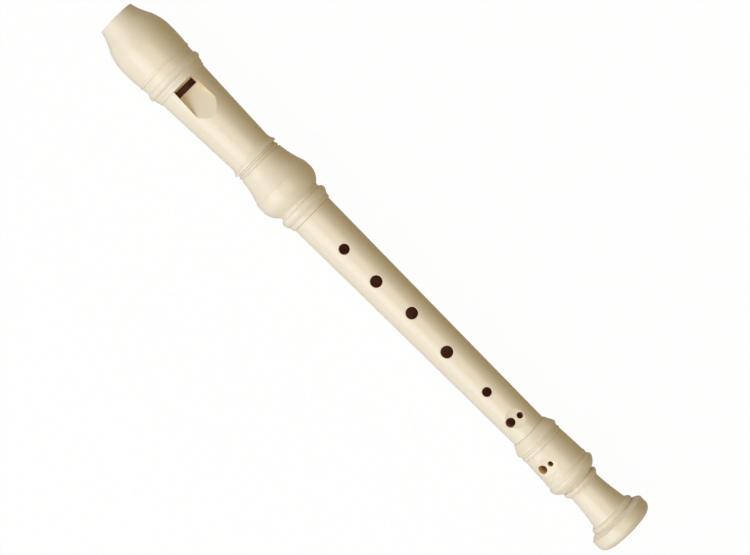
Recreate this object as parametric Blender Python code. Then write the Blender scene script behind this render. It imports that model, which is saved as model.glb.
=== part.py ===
"""Soprano recorder in three joints, lying on a table with its finger holes up.

The bore runs along X from the beak to the foot. The origin is under the middle of the length,
at table height. Sizes are in metres and stations run from the start of the piece they belong to.
"""

from math import asin, cos, pi, radians, sin, sqrt, tan

import bmesh
import bpy
from mathutils import Matrix, Vector

# Faces round a turned piece, runs in a turned curve and in the scoop, faces round a hole and
# round the bar that hollows a dish.
SIDES = 36
CURVE_STEPS = 4
SCOOP_STEPS = 10
HOLE_SIDES = 20
DISH_SIDES = 96

# Gaps: between moulded pieces that are joined, and round a tenon in its socket.
SEAM = 0.0003
TENON_CLEARANCE = 0.0003

# The beak, the head's ring, the bulb and the bell share this radius, so the recorder lies level.
WIDEST_RADIUS = 0.0152

# Bow of a turned run that is nearly straight.
SLIGHT_BOW = 0.0001

# Lengths along the bore.
BEAK_LENGTH = 0.0306
HEAD_TUBE_LENGTH = 0.0750
HEAD_SOCKET_LENGTH = 0.0200
MIDDLE_LENGTH = 0.1401
FOOT_LENGTH = 0.0643

# Bore.
HEAD_BORE_RADIUS = 0.0067
MIDDLE_BORE_TOP_RADIUS = 0.0065
MIDDLE_BORE_END_RADIUS = 0.0052
FOOT_BORE_RADIUS = 0.0051
BELL_MOUTH_RADIUS = 0.0062
BELL_MOUTH_DEPTH = 0.0016

# Tenons and the spigots that line up the moulded pieces.
HEAD_TENON_RADIUS = 0.0084
HEAD_TENON_LENGTH = 0.0197
FOOT_TENON_RADIUS = 0.0073
FOOT_TENON_LENGTH = 0.0112
TENON_CHAMFER = 0.0005
BEAK_SPIGOT_RADIUS = 0.0105
BEAK_SPIGOT_LENGTH = 0.0037
BULB_SPIGOT_RADIUS = 0.0104
BULB_SPIGOT_LENGTH = 0.0068

# Beak: a rounded tip, a slight hollow, a full swell, and an underside scooped out for the lips.
BEAK_TIP_RADIUS = 0.0093
BEAK_TIP_ROUND = 0.0004
BEAK_HOLLOW_STATION = 0.0092
BEAK_HOLLOW_RADIUS = 0.01295
BEAK_HOLLOW = 0.00038
BEAK_SWELL_STATION = 0.0200
BEAK_SWELL = 0.0006
BEAK_WAIST_RADIUS = 0.0147
BEAK_RIM_RADIUS = 0.01502
BEAK_RIM_LENGTH = 0.0012
SCOOP_TIP_DROP = 0.0004
SCOOP_LENGTH = 0.0290
SCOOP_HOLLOW = 0.0030

# Windway: heights above the bore's axis at the middle of its gently arched roof and floor.
WINDWAY_LENGTH = 0.0432
WINDWAY_ENTRY_WIDTH = 0.0112
WINDWAY_ENTRY_ROOF = 0.00675
WINDWAY_ENTRY_FLOOR = 0.00505
WINDWAY_EXIT_ROOF = 0.00745
WINDWAY_EXIT_FLOOR = 0.00625
ARCH_RADIUS = 0.030
BLOCK_SETBACK = 0.0004

# Window and labium: the cut-up is the gap from the windway's exit to the labium's edge.
WINDOW_WIDTH = 0.00985
CUT_UP = 0.0033
LABIUM_EDGE_HEIGHT = 0.00695
LABIUM_EDGE_THICKNESS = 0.0003
LABIUM_UNDERCUT_LENGTH = 0.0100
RAMP_SLOPE = radians(18.4)
WINDOW_CHEEK_DRAFT = 0.16
WINDOW_CHEEK_SPREAD = 0.060
WINDOW_FRONT_SLANT = 0.0005

# Head tube's turned ring, collar and tube.
COLLAR_RADIUS = 0.01435
RING_STATION = 0.00645
RING_WIDTH = 0.0042
RING_COVE_RADIUS = 0.0142
RING_STEP_STATION = 0.0115
RING_STEP_RADIUS = 0.0135
RING_STEP_LENGTH = 0.0004
TUBE_TOP_RADIUS = 0.01295
TUBE_END_RADIUS = 0.01122

# Bulb: flared lip, small bead, flare up to the seam; then the socket's swell, cove and bead.
LIP_RADIUS = 0.01245
LIP_FLARE_LENGTH = 0.0050
LIP_HOLLOW = 0.00025
LIP_EDGE = 0.0004
BULB_GROOVE_RADIUS = 0.01112
BULB_GROOVE_WIDTH = 0.0011
BULB_BEAD_WIDTH = 0.0020
BULB_BEAD_HEIGHT = 0.0006
BULB_FLARE_LENGTH = 0.0125
BULB_FLARE_START_RADIUS = 0.0119
BULB_FLARE_HOLLOW = 0.00045
BULB_SEAM_RADIUS = 0.01492
BULB_SWELL_STATION = 0.0041
BULB_TURN_STATION = 0.0069
BULB_TURN_RADIUS = 0.01475
BULB_FOOT_STATION = 0.0110
BULB_FOOT_RADIUS = 0.0116
BULB_FOOT_BULGE = 0.00022
BULB_FOOT_HOLLOW = 0.0003
SOCKET_BEAD_STATION = 0.0153
SOCKET_BEAD_WIDTH = 0.0044
SOCKET_BEAD_HEIGHT = 0.00115
SOCKET_RIM_RADIUS = 0.01135

# Middle joint's slightly hollow taper.
MIDDLE_TOP_RADIUS = 0.0108
MIDDLE_END_RADIUS = 0.00903

# Foot joint: mouth ring, barrel, shoulder ring, deep groove, bead, neck, bell bead and bell.
FOOT_MOUTH_RADIUS = 0.0095
FOOT_RING_STATION = 0.0044
FOOT_RING_RADIUS = 0.01175
FOOT_RING_CREST = 0.0007
FOOT_GROOVE_STATION = 0.0069
FOOT_GROOVE_RADIUS = 0.01095
FOOT_BEAD_STATION = 0.0082
FOOT_BEAD_WIDTH = 0.0018
FOOT_BEAD_HEIGHT = 0.00032
BARREL_END_STATION = 0.0229
BARREL_END_RADIUS = 0.01143
BARREL_LIP_RADIUS = 0.01185
BARREL_LIP_LENGTH = 0.0006
BARREL_RIM_STATION = 0.0255
BARREL_RIM_RADIUS = 0.01168
SHOULDER_STATION = 0.0266
SHOULDER_RADIUS = 0.01265
SHOULDER_CREST = 0.0016
SHOULDER_TAPER_LENGTH = 0.0026
SHOULDER_END_RADIUS = 0.01095
NECK_GROOVE_RADIUS = 0.0091
NECK_GROOVE_WIDTH = 0.0013
NECK_BEAD_WIDTH = 0.0028
NECK_BEAD_HEIGHT = 0.00055
NECK_RADIUS = 0.0080
NECK_HOLLOW = 0.00038
NECK_END_RADIUS = 0.0099
BELL_BEAD_STATION = 0.05345
BELL_BEAD_WIDTH = 0.0025
BELL_BEAD_RISE = 0.00065
BELL_BEAD_RADIUS = 0.0115
BELL_STEP_RADIUS = 0.01165
BELL_CONE_LENGTH = 0.00265
BELL_CREST_LENGTH = 0.0037
BELL_END_RADIUS = 0.01175
BELL_ROUND = 0.00083

# Finger holes: station on their joint, radius, and turn about the bore from straight up.
HOLE_1_STATION = 0.02135
HOLE_1_RADIUS = 0.0025
HOLE_2_STATION = 0.04195
HOLE_2_RADIUS = 0.00285
HOLE_3_STATION = 0.0635
HOLE_3_RADIUS = 0.00285
HOLE_4_STATION = 0.08725
HOLE_4_RADIUS = 0.0029
HOLE_5_STATION = 0.1130
HOLE_5_RADIUS = 0.00225
HOLE_6_LARGE_STATION = 0.1305
HOLE_6_LARGE_RADIUS = 0.0022
HOLE_6_SMALL_STATION = 0.1312
HOLE_6_SMALL_RADIUS = 0.00145
HOLE_7_LARGE_STATION = 0.0162
HOLE_7_LARGE_RADIUS = 0.0020
HOLE_7_SMALL_STATION = 0.0164
HOLE_7_SMALL_RADIUS = 0.00125
THUMB_HOLE_STATION = 0.0104
THUMB_HOLE_RADIUS = 0.00275
MIDDLE_TURN = radians(5.7)
HOLE_1_OFFSET = radians(-0.8)
HOLE_3_OFFSET = radians(-7.9)
HOLE_6_LARGE_OFFSET = radians(16.6)
HOLE_6_SMALL_OFFSET = radians(-22.0)
FOOT_TURN = radians(30.6)
HOLE_7_LARGE_OFFSET = radians(13.9)
HOLE_7_SMALL_OFFSET = radians(-12.6)

# Dish round each double hole: the radius of the bar that hollows it, and its depth.
DISH_6_ROLL = 0.0110
DISH_6_DEPTH = 0.0011
DISH_7_ROLL = 0.0120
DISH_7_DEPTH = 0.0009

# Reach of a cutter past the surface that it opens.
CUT_PAST = 0.003

HEAD_LENGTH = BEAK_LENGTH + HEAD_TUBE_LENGTH + HEAD_SOCKET_LENGTH
TOTAL_LENGTH = HEAD_LENGTH + MIDDLE_LENGTH + FOOT_LENGTH
AXIS_HEIGHT = WIDEST_RADIUS * cos(pi / SIDES)
IVORY = (0.80, 0.71, 0.55, 1.0)


def clear_scene():
    for item in list(bpy.data.objects):
        bpy.data.objects.remove(item, do_unlink=True)


def ivory_plastic(name, roughness):
    material = bpy.data.materials.new(name)
    material.use_nodes = True
    shader = material.node_tree.nodes["Principled BSDF"]
    shader.inputs["Base Color"].default_value = IVORY
    shader.inputs["Roughness"].default_value = roughness
    shader.inputs["Metallic"].default_value = 0.0
    return material


def arc_between(start, end, rise, steps=CURVE_STEPS):
    """Points inside a circular arc that stands out from its chord by rise."""
    chord = end - start
    half = chord.length / 2
    radius = (half ** 2 + rise ** 2) / (2 * abs(rise))
    reach = asin(min(1.0, half / radius))
    along = chord.normalized()
    out = Vector((-along.y, along.x)) * (1 if rise > 0 else -1)
    middle = (start + end) / 2
    points = []
    for step in range(1, steps):
        angle = reach * (2 * step / steps - 1)
        lift = radius * cos(angle) - (radius - abs(rise))
        points.append(middle + along * radius * sin(angle) + out * lift)
    return points


def outline(*stations):
    """Points (x, radius) through the stations; a third number bows the run before it."""
    points = [Vector(stations[0])]
    for x, radius, *rise in stations[1:]:
        end = Vector((x, radius))
        if rise:
            points.extend(arc_between(points[-1], end, rise[0]))
        points.append(end)
    return points


def new_object(name, mesh, station, axis, material=None):
    """A mesh object at a station on the bore's axis; without a material it is a cutter."""
    bmesh.ops.recalc_face_normals(mesh, faces=mesh.faces)
    data = bpy.data.meshes.new(name)
    mesh.to_mesh(data)
    mesh.free()
    item = bpy.data.objects.new(name, data)
    bpy.context.scene.collection.objects.link(item)
    item.parent = axis
    item.location = (station, 0, 0)
    if material:
        data.materials.append(material)
        data.shade_smooth()
        data.set_sharp_from_angle(angle=radians(35))
    else:
        item.hide_render = True
        item.display_type = "WIRE"
    return item


def turned(outer, inner):
    """A ring turned about the X axis, with one flat side facing straight down."""
    mesh = bmesh.new()
    verts = [mesh.verts.new((point.x, 0, point.y)) for point in outer + inner[::-1]]
    for first, second in zip(verts, verts[1:] + verts[:1]):
        mesh.edges.new((first, second))
    half_side = Matrix.Rotation(pi / SIDES, 3, "X")
    bmesh.ops.rotate(mesh, verts=mesh.verts, cent=(0, 0, 0), matrix=half_side)
    profile = mesh.verts[:] + mesh.edges[:]
    bmesh.ops.spin(mesh, geom=profile, cent=(0, 0, 0), axis=(1, 0, 0), angle=2 * pi, steps=SIDES,
                   use_merge=True)
    bmesh.ops.remove_doubles(mesh, verts=mesh.verts, dist=1e-7)
    return mesh


def lofted(rings):
    """A closed solid skinned over rings that have as many points each."""
    mesh = bmesh.new()
    loops = []
    for ring in rings:
        verts = [mesh.verts.new(point) for point in ring]
        pairs = zip(verts, verts[1:] + verts[:1])
        loops.append((verts, [mesh.edges.new(pair) for pair in pairs]))
    for (_, first), (_, second) in zip(loops, loops[1:]):
        bmesh.ops.bridge_loops(mesh, edges=first + second)
    mesh.faces.new(loops[0][0])
    mesh.faces.new(loops[-1][0])
    return mesh


def cut(piece, cutter):
    modifier = piece.modifiers.new(cutter.name, "BOOLEAN")
    modifier.operation = "DIFFERENCE"
    modifier.solver = "EXACT"
    modifier.object = cutter


def arch_drop(y):
    """How far the windway's arch has fallen at a distance y from its middle."""
    return ARCH_RADIUS - sqrt(ARCH_RADIUS ** 2 - y ** 2)


def arch_points(x, half_width, height):
    """Points across an arch, from +Y to -Y."""
    steps = [1 - step / CURVE_STEPS for step in range(2 * CURVE_STEPS + 1)]
    return [Vector((x, half_width * part, height - arch_drop(half_width * part))) for part in steps]


def windway_at(station, entry, exit_value):
    """A windway size at a station from the tip, between its entry and exit values."""
    return entry + (exit_value - entry) * station / WINDWAY_LENGTH


def windway_cutter(axis):
    """The air channel's roof and sides, open below into the bore where the block lies."""
    rings = []
    for station in (-CUT_PAST, WINDWAY_LENGTH + CUT_UP / 2):
        half_width = windway_at(station, WINDWAY_ENTRY_WIDTH, WINDOW_WIDTH) / 2
        roof = windway_at(station, WINDWAY_ENTRY_ROOF, WINDWAY_EXIT_ROOF)
        low = sqrt(HEAD_BORE_RADIUS ** 2 - half_width ** 2) * 0.8
        bottom = [Vector((station, -half_width, low)), Vector((station, half_width, low))]
        rings.append(arch_points(station, half_width, roof) + bottom)
    return new_object("windway_cutter", lofted(rings), 0, axis)


def window_cutter(axis):
    """The window through the wall, and the ramp that rises from the labium's edge."""
    edge = WINDWAY_LENGTH + CUT_UP
    ramp_length = (TUBE_TOP_RADIUS + CUT_PAST - LABIUM_EDGE_HEIGHT) / tan(RAMP_SLOPE)
    top = TUBE_TOP_RADIUS + CUT_PAST
    low = HEAD_BORE_RADIUS / 2
    rings = []
    for step in range(2 * CURVE_STEPS + 1):
        part = step / CURVE_STEPS - 1
        edge_height = LABIUM_EDGE_HEIGHT - arch_drop(part * WINDOW_WIDTH / 2)
        side = [(WINDWAY_LENGTH - WINDOW_FRONT_SLANT, top), (WINDWAY_LENGTH, low), (edge, low),
                (edge, edge_height), (edge + ramp_length, top)]
        ring = []
        for x, z in side:
            half_width = WINDOW_WIDTH / 2 + WINDOW_CHEEK_SPREAD * (x - edge)
            half_width += WINDOW_CHEEK_DRAFT * (z - LABIUM_EDGE_HEIGHT)
            ring.append(Vector((x, part * half_width, z)))
        rings.append(ring)
    return new_object("window_cutter", lofted(rings), 0, axis)


def labium_undercut(axis):
    """Clears the labium's underside, so that its edge is thin right across the window."""
    edge = WINDWAY_LENGTH + CUT_UP
    half_width = WINDOW_WIDTH / 2 - SEAM
    height = LABIUM_EDGE_HEIGHT - LABIUM_EDGE_THICKNESS
    fall = height - sqrt(HEAD_BORE_RADIUS ** 2 - half_width ** 2)
    low = HEAD_BORE_RADIUS / 2
    rings = []
    for x, z in ((edge - CUT_UP / 2, height), (edge, height), (edge + LABIUM_UNDERCUT_LENGTH, height - fall)):
        bottom = [Vector((x, -half_width, low)), Vector((x, half_width, low))]
        rings.append(arch_points(x, half_width, z) + bottom)
    return new_object("labium_undercut", lofted(rings), 0, axis)


def scoop_cutter(axis):
    """The hollow under the beak, where the lower lip rests; it trims the block flush."""
    start = Vector((0, -SCOOP_TIP_DROP))
    end = Vector((SCOOP_LENGTH, -WIDEST_RADIUS))
    run = [start] + arc_between(start, end, SCOOP_HOLLOW, SCOOP_STEPS) + [end]
    deep = -2 * WIDEST_RADIUS
    side = [Vector((-CUT_PAST, -SCOOP_TIP_DROP))] + run + [Vector((SCOOP_LENGTH, deep)),
                                                          Vector((-CUT_PAST, deep))]
    half_width = WIDEST_RADIUS + CUT_PAST
    rings = [[Vector((point.x, y, point.y)) for point in side] for y in (-half_width, half_width)]
    return new_object("scoop_cutter", lofted(rings), 0, axis)


def beak(axis, windway, scoop):
    rim_start = BEAK_LENGTH - BEAK_RIM_LENGTH
    seat = BEAK_LENGTH - BEAK_SPIGOT_LENGTH
    outer = outline(
        (0, BEAK_TIP_RADIUS - BEAK_TIP_ROUND),
        (BEAK_TIP_ROUND, BEAK_TIP_RADIUS),
        (BEAK_HOLLOW_STATION, BEAK_HOLLOW_RADIUS, -BEAK_HOLLOW),
        (BEAK_SWELL_STATION, WIDEST_RADIUS, BEAK_SWELL),
        (rim_start, BEAK_WAIST_RADIUS, SLIGHT_BOW),
        (BEAK_LENGTH, BEAK_RIM_RADIUS))
    inner = outline(
        (0, HEAD_BORE_RADIUS),
        (seat, HEAD_BORE_RADIUS),
        (seat, BEAK_SPIGOT_RADIUS + SEAM),
        (BEAK_LENGTH, BEAK_SPIGOT_RADIUS + SEAM))
    piece = new_object("beak", turned(outer, inner), 0, axis, ivory_plastic("beak_plastic", 0.32))
    cut(piece, windway)
    cut(piece, scoop)
    return piece


def block_ring(station):
    """The block's section: round in the bore, with a raised shelf as the windway's floor."""
    radius = HEAD_BORE_RADIUS - SEAM
    half_width = windway_at(station, WINDWAY_ENTRY_WIDTH, WINDOW_WIDTH) / 2 - SEAM
    floor = windway_at(station, WINDWAY_ENTRY_FLOOR, WINDWAY_EXIT_FLOOR)
    corner = asin(half_width / radius)
    steps = SIDES * 3 // 4
    points = []
    for step in range(steps + 1):
        angle = -corner - (2 * pi - 2 * corner) * step / steps
        points.append(Vector((station, radius * sin(angle), radius * cos(angle))))
    return arch_points(station, half_width, floor) + points


def block(axis, scoop):
    rings = [block_ring(BLOCK_SETBACK), block_ring(WINDWAY_LENGTH)]
    piece = new_object("block", lofted(rings), 0, axis, ivory_plastic("block_plastic", 0.4))
    cut(piece, scoop)
    return piece


def head_tube(axis, cutters):
    spigot_start = -BEAK_SPIGOT_LENGTH + SEAM
    seat = HEAD_TUBE_LENGTH - BULB_SPIGOT_LENGTH - SEAM
    bulb_start = HEAD_TUBE_LENGTH - BULB_FLARE_LENGTH
    bead_start = bulb_start - BULB_BEAD_WIDTH
    lip = bead_start - BULB_GROOVE_WIDTH
    ring_start = RING_STATION - RING_WIDTH / 2
    ring_end = RING_STATION + RING_WIDTH / 2
    ring_height = WIDEST_RADIUS - RING_COVE_RADIUS
    outer = outline(
        (spigot_start, BEAK_SPIGOT_RADIUS),
        (SEAM, BEAK_SPIGOT_RADIUS),
        (SEAM, COLLAR_RADIUS),
        (ring_start, RING_COVE_RADIUS, -SLIGHT_BOW),
        (ring_end, RING_COVE_RADIUS, ring_height),
        (RING_STEP_STATION, RING_STEP_RADIUS, -SLIGHT_BOW),
        (RING_STEP_STATION + RING_STEP_LENGTH, TUBE_TOP_RADIUS),
        (lip - LIP_FLARE_LENGTH, TUBE_END_RADIUS),
        (lip - LIP_EDGE, LIP_RADIUS, -LIP_HOLLOW),
        (lip, LIP_RADIUS),
        (lip, BULB_GROOVE_RADIUS),
        (bead_start, BULB_GROOVE_RADIUS),
        (bulb_start, BULB_GROOVE_RADIUS, BULB_BEAD_HEIGHT),
        (bulb_start, BULB_FLARE_START_RADIUS),
        (HEAD_TUBE_LENGTH - SEAM, BULB_SEAM_RADIUS, -BULB_FLARE_HOLLOW))
    inner = outline(
        (spigot_start, HEAD_BORE_RADIUS),
        (seat, HEAD_BORE_RADIUS),
        (seat, BULB_SPIGOT_RADIUS + SEAM),
        (HEAD_TUBE_LENGTH - SEAM, BULB_SPIGOT_RADIUS + SEAM))
    material = ivory_plastic("head_tube_plastic", 0.32)
    piece = new_object("head_tube", turned(outer, inner), BEAK_LENGTH, axis, material)
    for cutter in cutters:
        cut(piece, cutter)
    return piece


def head_socket(axis):
    """The bulb's lower half: a spigot into the head tube, and the socket for the middle joint."""
    rim = HEAD_SOCKET_LENGTH - SEAM
    floor = HEAD_SOCKET_LENGTH - HEAD_TENON_LENGTH - SEAM
    bead_start = SOCKET_BEAD_STATION - SOCKET_BEAD_WIDTH / 2
    bead_end = SOCKET_BEAD_STATION + SOCKET_BEAD_WIDTH / 2
    outer = outline(
        (-BULB_SPIGOT_LENGTH, BULB_SPIGOT_RADIUS),
        (0, BULB_SPIGOT_RADIUS),
        (0, BULB_SEAM_RADIUS),
        (BULB_SWELL_STATION, WIDEST_RADIUS, SLIGHT_BOW),
        (BULB_TURN_STATION, BULB_TURN_RADIUS, SLIGHT_BOW),
        (BULB_FOOT_STATION, BULB_FOOT_RADIUS, BULB_FOOT_BULGE),
        (bead_start, BULB_FOOT_RADIUS, -BULB_FOOT_HOLLOW),
        (bead_end, BULB_FOOT_RADIUS, SOCKET_BEAD_HEIGHT),
        (rim, SOCKET_RIM_RADIUS, -SLIGHT_BOW))
    inner = outline(
        (-BULB_SPIGOT_LENGTH, HEAD_BORE_RADIUS),
        (floor, HEAD_BORE_RADIUS),
        (floor, HEAD_TENON_RADIUS + TENON_CLEARANCE),
        (rim, HEAD_TENON_RADIUS + TENON_CLEARANCE))
    station = BEAK_LENGTH + HEAD_TUBE_LENGTH
    material = ivory_plastic("head_socket_plastic", 0.32)
    return new_object("head_socket", turned(outer, inner), station, axis, material)


def cut_hole(piece, name, station, radius, turn):
    """A round hole bored from the surface into the bore, turned about the bore's axis."""
    mesh = bmesh.new()
    bmesh.ops.create_cone(mesh, cap_ends=True, segments=HOLE_SIDES, radius1=radius, radius2=radius,
                          depth=WIDEST_RADIUS)
    bmesh.ops.translate(mesh, verts=mesh.verts, vec=(0, 0, WIDEST_RADIUS / 2))
    cutter = new_object(name, mesh, piece.location.x + station, piece.parent)
    cutter.rotation_euler.x = turn
    cut(piece, cutter)


def cut_dish(piece, name, station, floor_radius, roll, turn):
    """The shallow dish round a double hole, hollowed by a round bar laid across the joint."""
    mesh = bmesh.new()
    bmesh.ops.create_cone(mesh, cap_ends=True, segments=DISH_SIDES, radius1=roll, radius2=roll,
                          depth=2 * WIDEST_RADIUS)
    bmesh.ops.rotate(mesh, verts=mesh.verts, cent=(0, 0, 0), matrix=Matrix.Rotation(pi / 2, 3, "X"))
    bmesh.ops.translate(mesh, verts=mesh.verts, vec=(0, 0, floor_radius + roll))
    cutter = new_object(name, mesh, piece.location.x + station, piece.parent)
    cutter.rotation_euler.x = turn
    cut(piece, cutter)


def middle_joint(axis):
    top = -HEAD_TENON_LENGTH
    end = MIDDLE_LENGTH + FOOT_TENON_LENGTH
    outer = outline(
        (top, HEAD_TENON_RADIUS - TENON_CHAMFER),
        (top + TENON_CHAMFER, HEAD_TENON_RADIUS),
        (0, HEAD_TENON_RADIUS),
        (0, MIDDLE_TOP_RADIUS),
        (MIDDLE_LENGTH, MIDDLE_END_RADIUS, -SLIGHT_BOW),
        (MIDDLE_LENGTH, FOOT_TENON_RADIUS),
        (end - TENON_CHAMFER, FOOT_TENON_RADIUS),
        (end, FOOT_TENON_RADIUS - TENON_CHAMFER))
    inner = outline((top, MIDDLE_BORE_TOP_RADIUS), (end, MIDDLE_BORE_END_RADIUS))
    material = ivory_plastic("middle_joint_plastic", 0.32)
    piece = new_object("middle_joint", turned(outer, inner), HEAD_LENGTH, axis, material)
    dish_turn = MIDDLE_TURN + (HOLE_6_LARGE_OFFSET + HOLE_6_SMALL_OFFSET) / 2
    dish_station = (HOLE_6_LARGE_STATION + HOLE_6_SMALL_STATION) / 2
    share = dish_station / MIDDLE_LENGTH
    surface = MIDDLE_TOP_RADIUS + (MIDDLE_END_RADIUS - MIDDLE_TOP_RADIUS) * share
    cut_dish(piece, "dish_6", dish_station, surface - DISH_6_DEPTH, DISH_6_ROLL, dish_turn)
    cut_hole(piece, "hole_1", HOLE_1_STATION, HOLE_1_RADIUS, MIDDLE_TURN + HOLE_1_OFFSET)
    cut_hole(piece, "hole_2", HOLE_2_STATION, HOLE_2_RADIUS, MIDDLE_TURN)
    cut_hole(piece, "hole_3", HOLE_3_STATION, HOLE_3_RADIUS, MIDDLE_TURN + HOLE_3_OFFSET)
    cut_hole(piece, "hole_4", HOLE_4_STATION, HOLE_4_RADIUS, MIDDLE_TURN)
    cut_hole(piece, "hole_5", HOLE_5_STATION, HOLE_5_RADIUS, MIDDLE_TURN)
    cut_hole(piece, "hole_6_large", HOLE_6_LARGE_STATION, HOLE_6_LARGE_RADIUS,
             MIDDLE_TURN + HOLE_6_LARGE_OFFSET)
    cut_hole(piece, "hole_6_small", HOLE_6_SMALL_STATION, HOLE_6_SMALL_RADIUS,
             MIDDLE_TURN + HOLE_6_SMALL_OFFSET)
    cut_hole(piece, "thumb_hole", THUMB_HOLE_STATION, THUMB_HOLE_RADIUS, MIDDLE_TURN + pi)
    return piece


def foot_joint(axis):
    groove_end = SHOULDER_STATION + SHOULDER_CREST + SHOULDER_TAPER_LENGTH + NECK_GROOVE_WIDTH
    shoulder_end = SHOULDER_STATION + SHOULDER_CREST + SHOULDER_TAPER_LENGTH
    neck_start = groove_end + NECK_BEAD_WIDTH
    bell_bead_start = BELL_BEAD_STATION - BELL_BEAD_WIDTH / 2
    bell_start = BELL_BEAD_STATION + BELL_BEAD_WIDTH / 2
    crest_start = bell_start + BELL_CONE_LENGTH
    outer = outline(
        (SEAM, FOOT_MOUTH_RADIUS),
        (FOOT_RING_STATION, FOOT_RING_RADIUS),
        (FOOT_RING_STATION + FOOT_RING_CREST, FOOT_RING_RADIUS),
        (FOOT_GROOVE_STATION, FOOT_GROOVE_RADIUS, -SLIGHT_BOW),
        (FOOT_BEAD_STATION - FOOT_BEAD_WIDTH / 2, FOOT_GROOVE_RADIUS),
        (FOOT_BEAD_STATION + FOOT_BEAD_WIDTH / 2, FOOT_GROOVE_RADIUS, FOOT_BEAD_HEIGHT),
        (BARREL_END_STATION, BARREL_END_RADIUS),
        (BARREL_END_STATION + BARREL_LIP_LENGTH, BARREL_LIP_RADIUS),
        (BARREL_RIM_STATION, BARREL_RIM_RADIUS),
        (SHOULDER_STATION, SHOULDER_RADIUS, -SLIGHT_BOW),
        (SHOULDER_STATION + SHOULDER_CREST, SHOULDER_RADIUS, SLIGHT_BOW),
        (shoulder_end, SHOULDER_END_RADIUS),
        (shoulder_end, NECK_GROOVE_RADIUS),
        (groove_end, NECK_GROOVE_RADIUS),
        (neck_start, NECK_GROOVE_RADIUS, NECK_BEAD_HEIGHT),
        (neck_start, NECK_RADIUS),
        (bell_bead_start, NECK_END_RADIUS, -NECK_HOLLOW),
        (bell_start, BELL_BEAD_RADIUS, BELL_BEAD_RISE),
        (bell_start, BELL_STEP_RADIUS),
        (crest_start, WIDEST_RADIUS),
        (crest_start + BELL_CREST_LENGTH, WIDEST_RADIUS),
        (FOOT_LENGTH, BELL_END_RADIUS, BELL_ROUND))
    socket_floor = FOOT_TENON_LENGTH + SEAM
    inner = outline(
        (SEAM, FOOT_TENON_RADIUS + TENON_CLEARANCE),
        (socket_floor, FOOT_TENON_RADIUS + TENON_CLEARANCE),
        (socket_floor, FOOT_BORE_RADIUS),
        (FOOT_LENGTH - BELL_MOUTH_DEPTH, FOOT_BORE_RADIUS),
        (FOOT_LENGTH, BELL_MOUTH_RADIUS))
    material = ivory_plastic("foot_joint_plastic", 0.32)
    station = HEAD_LENGTH + MIDDLE_LENGTH
    piece = new_object("foot_joint", turned(outer, inner), station, axis, material)
    dish_turn = FOOT_TURN + (HOLE_7_LARGE_OFFSET + HOLE_7_SMALL_OFFSET) / 2
    dish_station = (HOLE_7_LARGE_STATION + HOLE_7_SMALL_STATION) / 2
    share = dish_station / BARREL_END_STATION
    surface = FOOT_GROOVE_RADIUS + (BARREL_END_RADIUS - FOOT_GROOVE_RADIUS) * share
    cut_dish(piece, "dish_7", dish_station, surface - DISH_7_DEPTH, DISH_7_ROLL, dish_turn)
    cut_hole(piece, "hole_7_large", HOLE_7_LARGE_STATION, HOLE_7_LARGE_RADIUS,
             FOOT_TURN + HOLE_7_LARGE_OFFSET)
    cut_hole(piece, "hole_7_small", HOLE_7_SMALL_STATION, HOLE_7_SMALL_RADIUS,
             FOOT_TURN + HOLE_7_SMALL_OFFSET)
    return piece


def build():
    clear_scene()
    axis = bpy.data.objects.new("bore_axis", None)
    bpy.context.scene.collection.objects.link(axis)
    axis.location = (-TOTAL_LENGTH / 2, 0, AXIS_HEIGHT)
    windway = windway_cutter(axis)
    scoop = scoop_cutter(axis)
    beak(axis, windway, scoop)
    block(axis, scoop)
    head_tube(axis, [windway, window_cutter(axis), labium_undercut(axis)])
    head_socket(axis)
    middle_joint(axis)
    foot_joint(axis)


build()
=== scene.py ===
import math

import bpy
from mathutils import Matrix, Vector


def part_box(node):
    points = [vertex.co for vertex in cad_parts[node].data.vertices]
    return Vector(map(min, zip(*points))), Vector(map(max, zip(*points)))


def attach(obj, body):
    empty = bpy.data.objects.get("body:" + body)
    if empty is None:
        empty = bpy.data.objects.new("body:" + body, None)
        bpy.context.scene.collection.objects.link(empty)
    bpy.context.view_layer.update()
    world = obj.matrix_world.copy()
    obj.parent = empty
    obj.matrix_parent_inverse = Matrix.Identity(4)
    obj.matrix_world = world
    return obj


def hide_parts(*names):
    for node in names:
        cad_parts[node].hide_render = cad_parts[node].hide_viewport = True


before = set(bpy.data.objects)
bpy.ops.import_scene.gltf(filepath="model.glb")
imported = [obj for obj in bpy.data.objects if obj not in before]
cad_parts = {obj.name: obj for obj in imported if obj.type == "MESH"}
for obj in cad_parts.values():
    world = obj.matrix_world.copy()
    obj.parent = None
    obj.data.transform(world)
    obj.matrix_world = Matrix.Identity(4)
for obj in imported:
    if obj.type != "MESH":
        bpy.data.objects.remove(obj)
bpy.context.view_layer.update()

mm = 0.001

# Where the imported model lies: its two ends, and how high the bore runs over the table.
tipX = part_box("beak")[0].x
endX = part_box("foot_joint")[1].x
footLow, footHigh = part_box("foot_joint")
axisHeight = (footLow.z + footHigh.z) / 2
inset = 0.01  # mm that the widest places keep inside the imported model
fullRadius = (footHigh.z - footLow.z) / 2 / mm - inset  # beak, ring, bulb and bell all reach this

# Stations in mm from the tip where each piece starts.
starts = {"headTube": 30.6, "headSocket": 105.6, "middle": 125.6, "foot": 265.7}
headBore = 6.7  # radius in mm

# How finely everything is made.
finish = {
    "turnSteps": 144,  # faces round a turned piece
    "bowTurn": math.radians(8),  # most that one run of a turned curve turns
    "bowSteps": 4,  # and the fewest runs in it
    "cornerSteps": 8,
    "cornerNear": 0.003,  # mm within which a point is taken for a corner
    "archSteps": 16,
    "holeSteps": 48,  # faces round a finger hole
    "sharpAngle": math.radians(13),
    "spinWeld": 0.0005,  # mm within which points are joined after a spin
    "cutWeld": 0.001,  # and after the cuts
}


# Helpers for working as in edit mode.

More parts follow.
